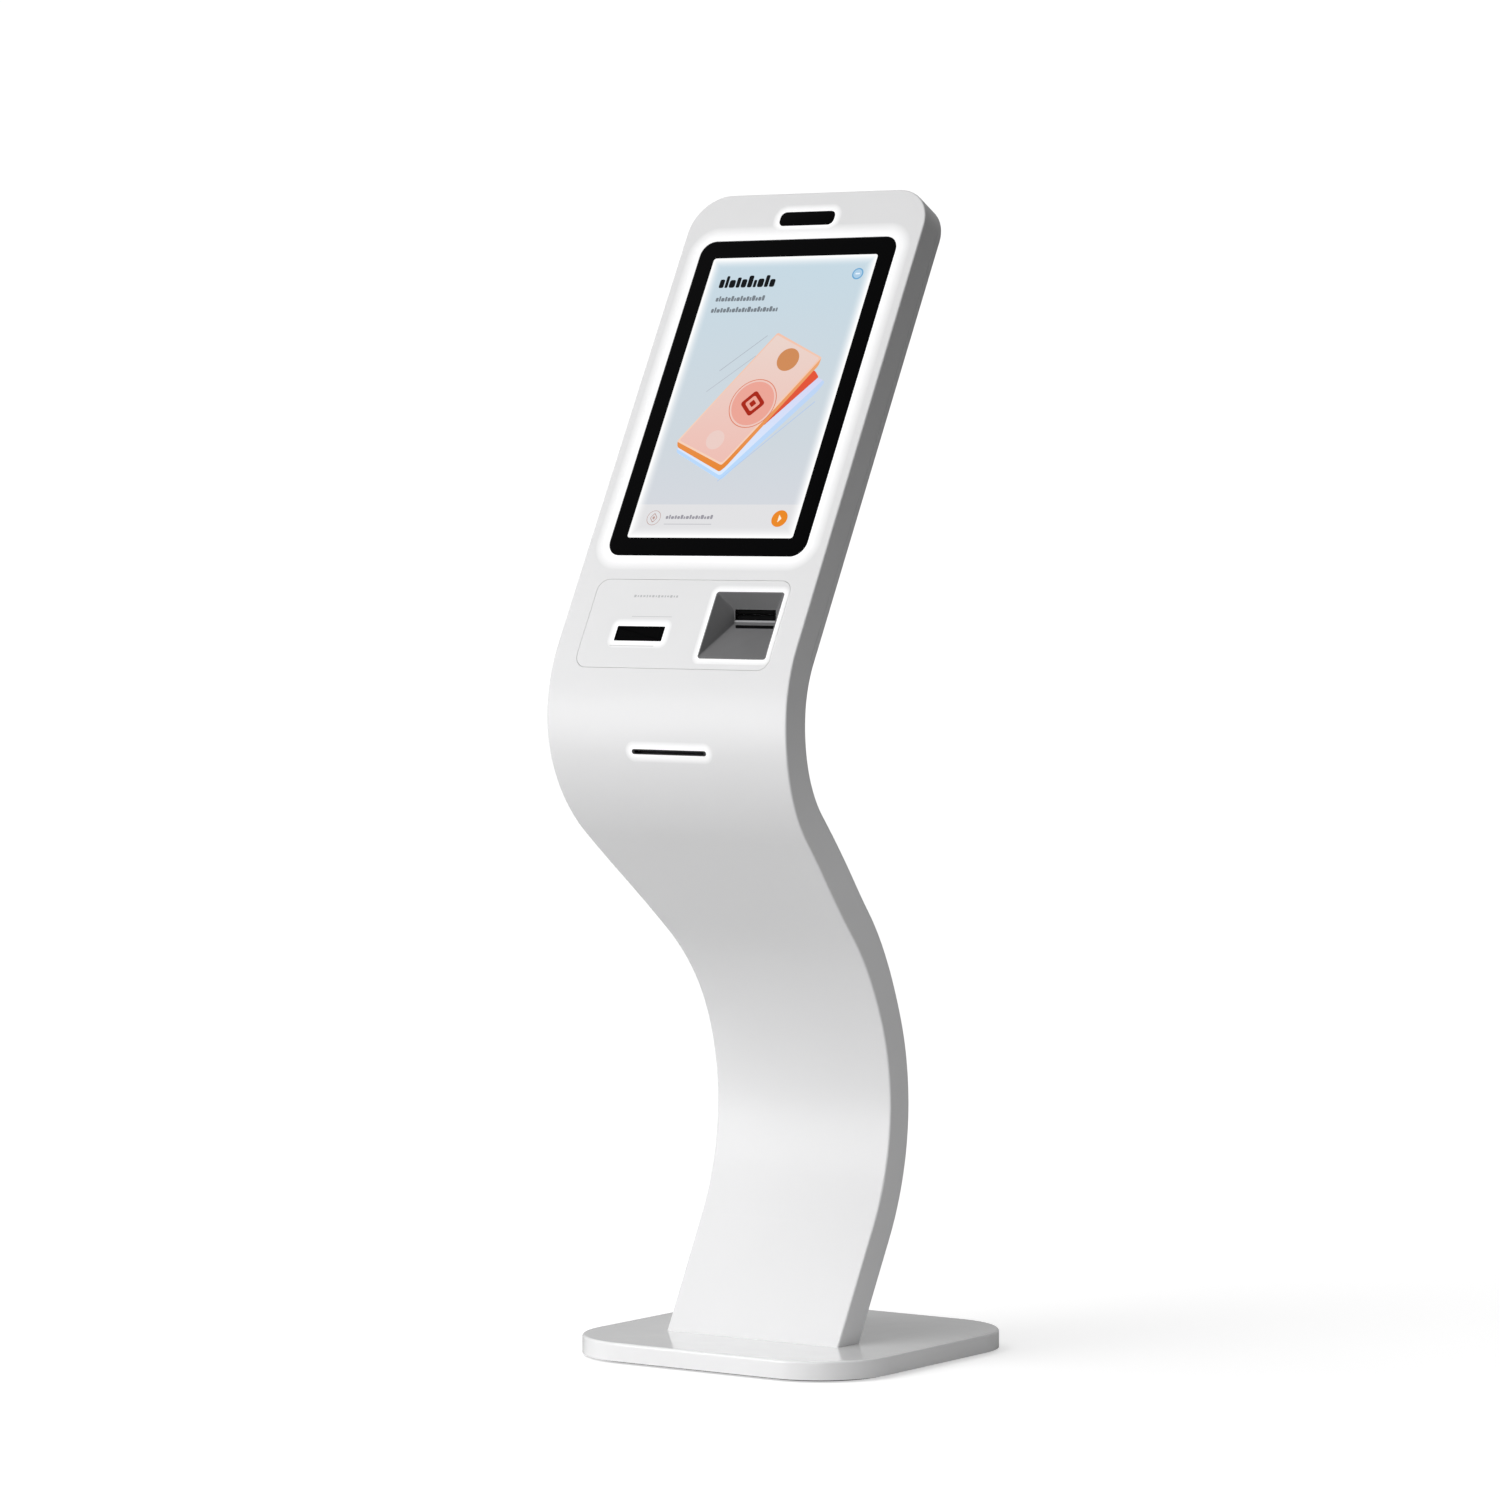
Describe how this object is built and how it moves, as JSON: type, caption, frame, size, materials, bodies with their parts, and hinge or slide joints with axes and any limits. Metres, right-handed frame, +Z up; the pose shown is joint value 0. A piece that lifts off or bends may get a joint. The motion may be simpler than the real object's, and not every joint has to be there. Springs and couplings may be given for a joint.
{
  "type": "self-service cash kiosk",
  "caption": "Floor-standing cash machine: a thin S-shaped white body with a touchscreen, reader, note pocket and receipt slot on a flat base.",
  "frame": {"origin": "centre of the base's underside, on the floor", "axes": "+Z up, +X to the user's right, -Y towards the user"},
  "size_m": [0.48, 0.5285, 1.5864],
  "materials": {
    "white_paint": "satin white powder coat",
    "white_gloss": "gloss white lacquer",
    "pocket_grey": "moulded mid-grey plastic, light texture",
    "black_glass": "black-bordered cover glass",
    "black_plastic": "moulded black",
    "display_metal": "stamped panel housing",
    "steel": "zinc-plated steel",
    "dark_steel": "blackened steel",
    "aluminium": "natural aluminium",
    "board_green": "green circuit board",
    "rubber": "rubber tyre on a steel shaft",
    "paper": "thermal paper, soft wound",
    "chrome": "polished",
    "cable_black": "PVC cable jacket"
  },
  "bodies": {
    "cabinet": {"base_cover": "white_gloss", "base_plate": "dark_steel", "base_standoffs": "steel", "camera_module": "board_green", "camera_window": "black_glass", "cash_pocket": "pocket_grey", "cover_screws": "chrome", "display_bar_lower": "steel", "display_bar_upper": "steel", "electronics_tray": "aluminium", "fan_frame": "black_plastic", "feed_motor": "aluminium", "flange_bolts": "steel", "foot_flange": "dark_steel", "frame_hinge_leaf_lower": "steel", "frame_hinge_leaf_upper": "steel", "front_skin": "white_paint", "head_rail_left": "steel", "head_rail_right": "steel", "heat_sink": "aluminium", "hinge_pins": "chrome", "lcd_module": "display_metal", "leg_rear_cover": "white_paint", "lock_strike": "steel", "main_board": "board_green", "module_faceplate": "white_paint", "neck_crossbar": "steel", "note_cassette": "black_plastic", "power_cable": "cable_black", "power_inlet": "black_plastic", "power_supply": "aluminium", "printer_frame": "steel", "printer_tray": "steel", "reader_module": "black_plastic", "reader_window": "black_glass", "receipt_bezel": "black_plastic", "roll_brackets": "steel", "roll_spindle": "black_plastic", "side_panel_left": "white_paint", "side_panel_right": "white_paint", "spine_rail_left": "steel", "spine_rail_right": "steel", "thermal_head": "aluminium", "touch_glass": "black_glass", "transport_cheek_left": "steel", "transport_cheek_right": "steel"},
    "rear_door": {"rear_door": "white_paint", "door_hinge_leaf_upper": "steel", "door_hinge_leaf_lower": "steel", "lock_barrel": "chrome"},
    "lock_plug": {"lock_plug": "chrome"},
    "note_shutter": {"note_shutter": "black_plastic"},
    "feed_roller_upper": {"feed_roller_upper": "rubber"},
    "feed_roller_lower": {"feed_roller_lower": "rubber"},
    "platen_roller": {"platen_roller": "rubber"},
    "paper_roll": {"paper_roll": "paper"},
    "cutter_blade": {"cutter_blade": "chrome"},
    "fan_rotor": {"fan_rotor": "black_plastic"}
  },
  "joints": [
    {"name": "door_hinge", "type": "hinge", "parent": "cabinet", "child": "rear_door", "pos_m": [-0.1983, -0.07587, 1.26419], "axis": [0, 0.4726, 0.8813], "range_deg": [0, 100]},
    {"name": "lock_turn", "type": "hinge", "parent": "rear_door", "child": "lock_plug", "pos_m": [0.16525, -0.06785, 1.25705], "axis": [0, 0.8813, -0.4726], "range_deg": [0, 90]},
    {"name": "shutter_slide", "type": "slide", "parent": "cabinet", "child": "note_shutter", "axis": [0, 0, -1], "range_m": [0, 0.017]},
    {"name": "feed_lower_spin", "type": "hinge", "parent": "cabinet", "child": "feed_roller_lower", "pos_m": [0.0952, -0.21467, 1.01002], "axis": [1, 0, 0], "continuous": true},
    {"name": "feed_upper_spin", "type": "hinge", "parent": "cabinet", "child": "feed_roller_upper", "pos_m": [0.0952, -0.21467, 1.01961], "axis": [1, 0, 0], "continuous": true},
    {"name": "platen_spin", "type": "hinge", "parent": "cabinet", "child": "platen_roller", "pos_m": [0.004, -0.27534, 0.82979], "axis": [1, 0, 0], "continuous": true},
    {"name": "paper_roll_spin", "type": "hinge", "parent": "cabinet", "child": "paper_roll", "pos_m": [0.004, -0.25745, 0.79244], "axis": [1, 0, 0], "continuous": true},
    {"name": "cutter_slide", "type": "slide", "parent": "cabinet", "child": "cutter_blade", "axis": [0, 0.1921, -0.9814], "range_m": [0, 0.006]},
    {"name": "fan_spin", "type": "hinge", "parent": "cabinet", "child": "fan_rotor", "pos_m": [-0.095, -0.01258, 1.38129], "axis": [0, 0.8813, -0.4726], "continuous": true}
  ],
  "couplings": [
    {"joint": "feed_upper_spin", "follows": "feed_lower_spin", "ratio": -1},
    {"joint": "platen_spin", "follows": "paper_roll_spin", "ratio": 2.6667}
  ]
}
